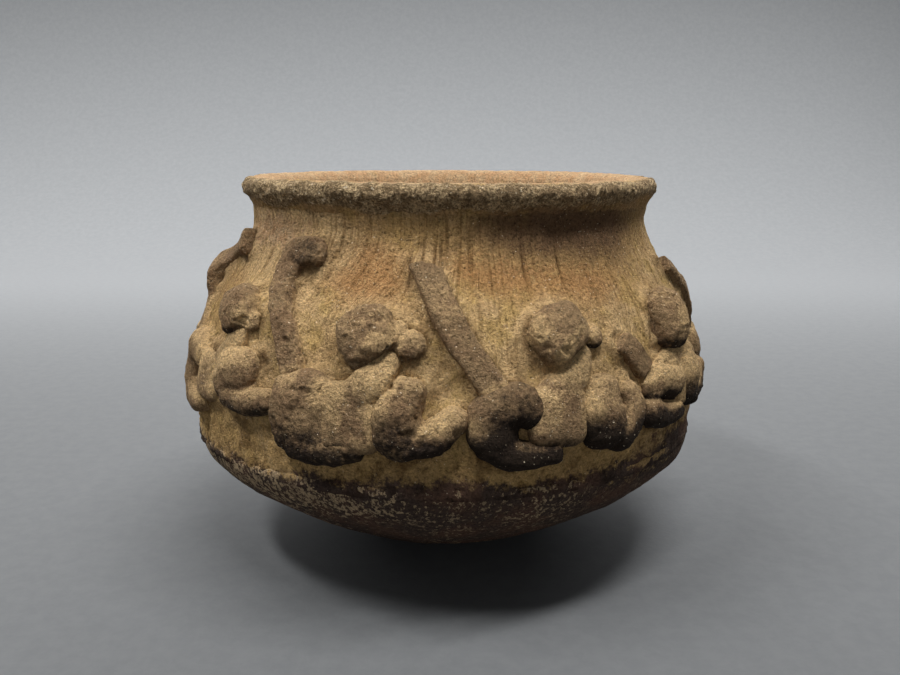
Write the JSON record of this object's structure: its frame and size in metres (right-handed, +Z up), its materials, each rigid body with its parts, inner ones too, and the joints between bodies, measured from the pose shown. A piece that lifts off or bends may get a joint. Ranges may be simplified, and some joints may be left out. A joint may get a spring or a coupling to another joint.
{
  "type": "bowl",
  "caption": "Small round-based hand-built clay bowl with a thick everted lip and a frieze of long-tailed animals applied to its shoulder in clay strips and pellets.",
  "frame": {"origin": "middle of the flat spot under the base that the bowl stands on", "axes": "+Z up through the mouth, -Y towards the front of the frieze as pictured, +X to the right seen from the front"},
  "size_m": [0.0963, 0.0964, 0.0658],
  "materials": {
    "base_clay": "matt, sooted, speckled",
    "wall_clay": "matt, scraped, buff to ochre",
    "rim_clay": "matt, granular crust",
    "applied_clay": "matt, gritty, grey-brown"
  },
  "bodies": {
    "root": {"base_bowl": "base_clay", "shoulder_wall": "wall_clay", "rim_coil": "rim_clay", "animal_1_tail": "applied_clay", "animal_1_body": "applied_clay", "animal_1_hind_leg": "applied_clay", "animal_1_foreleg": "applied_clay", "animal_1_head": "applied_clay", "animal_2_tail": "applied_clay", "animal_2_body": "applied_clay", "animal_2_hind_leg": "applied_clay", "animal_2_foreleg": "applied_clay", "animal_2_head": "applied_clay", "animal_3_tail": "applied_clay", "animal_3_body": "applied_clay", "animal_3_hind_leg": "applied_clay", "animal_3_foreleg": "applied_clay", "animal_3_head": "applied_clay", "animal_4_tail": "applied_clay", "animal_4_body": "applied_clay", "animal_4_hind_leg": "applied_clay", "animal_4_foreleg": "applied_clay", "animal_4_head": "applied_clay", "animal_5_tail": "applied_clay", "animal_5_body": "applied_clay", "animal_5_hind_leg": "applied_clay", "animal_5_foreleg": "applied_clay", "animal_5_head": "applied_clay", "animal_6_tail": "applied_clay", "animal_6_body": "applied_clay", "animal_6_hind_leg": "applied_clay", "animal_6_foreleg": "applied_clay", "animal_6_head": "applied_clay", "animal_7_tail": "applied_clay", "animal_7_body": "applied_clay", "animal_7_hind_leg": "applied_clay", "animal_7_foreleg": "applied_clay", "animal_7_head": "applied_clay", "animal_8_tail": "applied_clay", "animal_8_body": "applied_clay", "animal_8_hind_leg": "applied_clay", "animal_8_foreleg": "applied_clay", "animal_8_head": "applied_clay", "animal_9_tail": "applied_clay", "animal_9_body": "applied_clay", "animal_9_hind_leg": "applied_clay", "animal_9_foreleg": "applied_clay", "animal_9_head": "applied_clay"}
  },
  "joints": []
}
